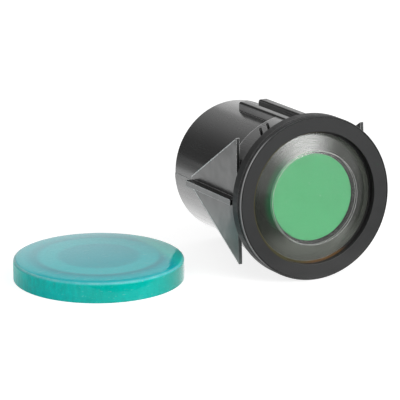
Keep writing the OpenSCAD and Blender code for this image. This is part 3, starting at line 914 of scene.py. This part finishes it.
def worn_and_highlight_edges(look, wing):
    """Masks and colours of all the housing's worn edges, partly painted highlights and brighter on the upper wings
    and collar, then of the thin painted highlight lines on wings and collar.
    """
    across, down, back = look.axes()
    wear_and_highlight = look.times(look.edges(0.22), look.varied(0.8, 0.5, 1.0))
    collar = look.times(
        look.span(look.radius(), SPIGOT_R - 0.5, SPIGOT_R - 0.4),
        look.span(back, COLLAR_BACK - 0.3, COLLAR_BACK - 0.1),
    )
    # Painted highlight: brighter edges on the upper wings and on the collar
    highlight_place = look.largest(look.times(wing, look.span(down, 1.5, -1.5)), collar)
    patchy = look.times(
        look.span(look.noise(0.9), 0.35, 0.6, 0.45, 1.0), look.span(across, 4, -4, 0.3, 1.0)
    )
    lines = look.times(look.largest(wing_highlight_edges(look), collar_highlight_edge(look)), patchy)
    return (wear_and_highlight, look.mix(highlight_place, HOUSING_WEAR_AND_HIGHLIGHT, PAINTED_BRIGHT_HIGHLIGHT)), (lines, PAINTED_HIGHLIGHT_LINE)


def housing_material():
    """Black plastic, glossy on the barrel and satin on the wings, with pale edges that are partly worn and partly
    painted highlights, some dust, and painted light and shade on the rib, raised parts, lower wings and slits.
    """
    look = Look("housing_black", SWITCH, IOR=1.5, Coat_Roughness=0.22, Coat_IOR=1.5)
    across, down, back = look.axes()
    r = look.radius()
    aside = look.math("ABSOLUTE", across)
    behind_flange = look.span(back, FLANGE_BACK, FLANGE_BACK + 0.2)
    wing = look.times(look.span(aside, WING_IN - 0.05, WING_IN + 0.05), look.span(back, 4.0, 4.5))
    rib = look.times(look.span(aside, WING_OUT + 0.02, WING_OUT + 0.1), wing)
    # Painted shade on the rib's sides and painted light on its outer face
    rib_painted_light = look.mix(look.span(aside, RIB_OUT - 0.12, RIB_OUT - 0.04), RIB_SIDE_SHADE, RIB_FACE_LIGHT)
    fin_top = look.times(
        look.span(r, SPIGOT_R - 0.25, SPIGOT_R - 0.1), look.span(aside, FIN_OUT + 0.35, FIN_OUT + 0.15)
    )
    off_barrel = look.times(look.span(r, BARREL_R + 0.05, BARREL_R + 0.2), behind_flange)
    # Painted light on the raised collar and fins, apart from the wings and the fins' tops
    raised_painted_light = look.math("SUBTRACT", off_barrel, look.largest(wing, fin_top))
    slit = inside_slits(look)
    drift = look.noise(5)
    base = look.layers(
        look.mix(drift, *GLOSS_TONES),
        (wing, look.mix(drift, *SATIN_TONES)),
        (rib, rib_painted_light),
        (raised_painted_light, RAISED_PAINTED_LIGHT),
        (look.span(back, FLANGE_BACK + 0.1, FLANGE_BACK - 0.1), FLANGE),
        (look.specks(apart=0.9, size=0.06, share=0.03), HOUSING_DUST),
        # Painted reflection, paler towards the wings' bottom
        (look.times(wing, look.span(down, 0, 8.5, 0.0, 0.9)), WING_PAINTED_LOW_REFLECTION),
        *worn_and_highlight_edges(look, wing),
        # Painted shade inside the slits
        (slit, SLIT_PAINTED_SHADE),
    )
    smear = look.varied(3, 0.19, 0.26, stretch=(1, 1, 0.4))
    drag = look.varied(0.5, -0.04, 0.06, detail=4, stretch=(1, 1, 0.06))
    drag = look.times(drag, look.span(wing, 0, 1, 1.0, 0.0))
    dull = look.largest(look.times(wing, 0.16), look.span(back, FLANGE_BACK + 0.2, FLANGE_BACK, 0.0, 0.33))
    rough = look.math("ADD", look.math("ADD", smear, drag), dull)
    dents = look.times(look.math("SUBTRACT", look.noise(3.5, detail=1), 0.5), wing_faces(look))
    uneven = look.bump(dents, 0.1)
    grain = look.bump(look.noise(0.12, detail=2), 0.003, uneven)
    polished = look.times(look.span(r, BARREL_R + 0.05, BARREL_R + 0.01, 0.7, 1.0), behind_flange)
    polished = look.times(polished, look.span(look.largest(fin_top, slit), 0, 1, 1.0, 0.0))
    return look.wear(
        Base_Color=base, Roughness=rough, Normal=grain, Coat_Weight=polished, Coat_Normal=uneven,
    )


dress("housing", housing_material())
soften("housing", SOFTENED_EDGE)

# Inner pieces
NYLON = (0.72, 0.7, 0.64)
PHENOLIC = (0.09, 0.045, 0.025)
STEEL = (0.55, 0.56, 0.57, 1)
BRASS = (0.66, 0.46, 0.16, 1)
SILVER = (0.8, 0.8, 0.78, 1)
ZINC = (0.6, 0.6, 0.57, 1)
INNER_PIECES = (
    (
        moulded("white_nylon", NYLON, rough=0.42, grain=0.003, grain_size=0.1),
        ("plunger", "guide_bush", "contact_washer"),
    ),
    (metal("sheet_steel", STEEL, rough=0.3, streak=(0.1, 1, 1)), ("spring_seat", "retaining_clips")),
    (
        metal("contact_brass", BRASS, rough=0.26, streak=(1, 1, 0.08)),
        ("contact_bridge", "terminal_left", "terminal_right"),
    ),
    (metal("contact_silver", SILVER, rough=0.2, streak=(1, 0.3, 1)), ("bridge_tips", "contact_rivets")),
    (
        moulded("base_phenolic", PHENOLIC, rough=0.4, grain=0.006, grain_size=0.15, dust_and_painted_light=0.05),
        ("terminal_base",),
    ),
    (metal("plated_screw", ZINC, rough=0.28, streak=(0.2, 0.2, 1)), ("base_screws",)),
)
for material, nodes in INNER_PIECES:
    for node in nodes:
        dress(node, material)

# Stage, in metres unless a name says otherwise
FLOOR_HALF = 2.0
FLOOR_TONE = 0.5
FLOOR_ROUGHNESS = 0.9
FLOOR_GLOW = 0.8
FLOOR_SHINE = 1.0
SHINE_MIDDLE = (-0.01, 0.03, 0)
SHINE_NEAR = 0.035
SHINE_FAR = 0.09
CARD_LOW = (-0.3, -0.3)
CARD_HIGH = (0.036, -0.019)
CARD_LIFT = 0.0005
CARD_TONE = 0.02
CARD_FADE_MM = (22, 12)
STRIP_FADE_MM = (36, 24)
STRIP_FRONT_MM = (-25, -22.5)
FILL_STRENGTH = 0.46
DARK_RIGHT = 0.5
DARK_LEFT = 0.13

# Key light: where it comes from, and each panel's distance, width and height, and power in watts
KEY_DIRECTION = looking_from(22.5, 22)
KEY_TARGET = Vector((0.018, -0.015, 0.016))
KEY_PANELS = (
    (0.50, (0.12, 0.14), 0.26),
    (0.51, (0.22, 0.14), 0.46),
    (0.52, (0.32, 0.15), 0.54),
    (0.53, (0.46, 0.18), 0.58),
)


def flat_object(name, low, high, z):
    """Level rectangle between two corners."""
    (x0, y0), (x1, y1) = low, high
    mesh = bpy.data.meshes.new(name)
    mesh.from_pydata([(x0, y0, z), (x1, y0, z), (x1, y1, z), (x0, y1, z)], [], [(0, 1, 2, 3)])
    return add_object(name, mesh)


def make_floor():
    """Pale floor that glows to the camera and, near the object, to reflections, and takes its shadow."""
    floor = flat_object("floor", (-FLOOR_HALF, -FLOOR_HALF), (FLOOR_HALF, FLOOR_HALF), 0)
    look = Look(
        "floor", Matrix.Identity(4),
        Base_Color=grey(FLOOR_TONE), Roughness=FLOOR_ROUGHNESS, Emission_Color=grey(1),
    )
    path = look.add("LightPath").outputs
    at = look.add("TexCoord").outputs["Object"]
    away = look.add("VectorMath", {0: at, 1: SHINE_MIDDLE}, operation="DISTANCE").outputs["Value"]
    mirrored = look.largest(path["Is Glossy Ray"], path["Is Transmission Ray"])
    shine = look.times(mirrored, look.span(away, SHINE_NEAR, SHINE_FAR, FLOOR_SHINE, 0.0))
    glow = look.largest(look.times(path["Is Camera Ray"], FLOOR_GLOW), shine)
    floor.data.materials.append(look.wear(Emission_Strength=glow))


def make_card():
    """Dark card on the floor in front to the left, which only reflections see."""
    card = flat_object("card", CARD_LOW, CARD_HIGH, CARD_LIFT)
    look = Look("card", Matrix.Identity(4), Base_Color=grey(CARD_TONE), Roughness=1.0)
    across, along, _ = look.axes()
    strip = look.times(look.span(across, *STRIP_FADE_MM), look.span(along, *STRIP_FRONT_MM))
    card.data.materials.append(look.wear(Alpha=look.largest(look.span(across, *CARD_FADE_MM), strip)))
    card.visible_camera = False
    card.visible_diffuse = False
    card.visible_shadow = False
    card.visible_transmission = False


def make_key():
    """Soft light from the front right, brightest in its middle: each panel is wider than the one before."""
    for distance, panel, power in KEY_PANELS:
        data = bpy.data.lights.new("key", "AREA")
        data.shape = "RECTANGLE"
        data.size, data.size_y = panel
        data.energy = power
        aim(add_object("key", data), KEY_TARGET, KEY_DIRECTION, distance)


def make_world():
    """White to the camera and through clear pieces, darker to reflections from behind, with a softer fill."""
    world = bpy.data.worlds.new("studio")
    world.use_nodes = True
    bpy.context.scene.world = world
    nodes = Nodes(world.node_tree)
    path = nodes.add("LightPath").outputs
    way = nodes.add("TexCoord").outputs["Generated"]
    across, back, up = nodes.add("SeparateXYZ", {0: way}).outputs
    low_right = nodes.times(nodes.span(across, 0.05, 0.3), nodes.span(up, 0.52, 0.42))
    behind = nodes.largest(nodes.span(across, 0.1, -0.45, DARK_RIGHT, DARK_LEFT), low_right)
    around = nodes.add("Mix", {0: nodes.span(back, 0, 0.3), 2: 1.0, 3: behind}).outputs[0]
    mirrored = nodes.times(path["Is Glossy Ray"], around)
    seen = nodes.largest(path["Is Camera Ray"], path["Is Transmission Ray"], mirrored)
    fill = nodes.times(path["Is Diffuse Ray"], FILL_STRENGTH)
    background = world.node_tree.nodes["Background"]
    nodes.set(background, "Color", grey(1))
    nodes.set(background, "Strength", nodes.largest(seen, fill))


make_floor()
make_card()
make_key()
make_world()
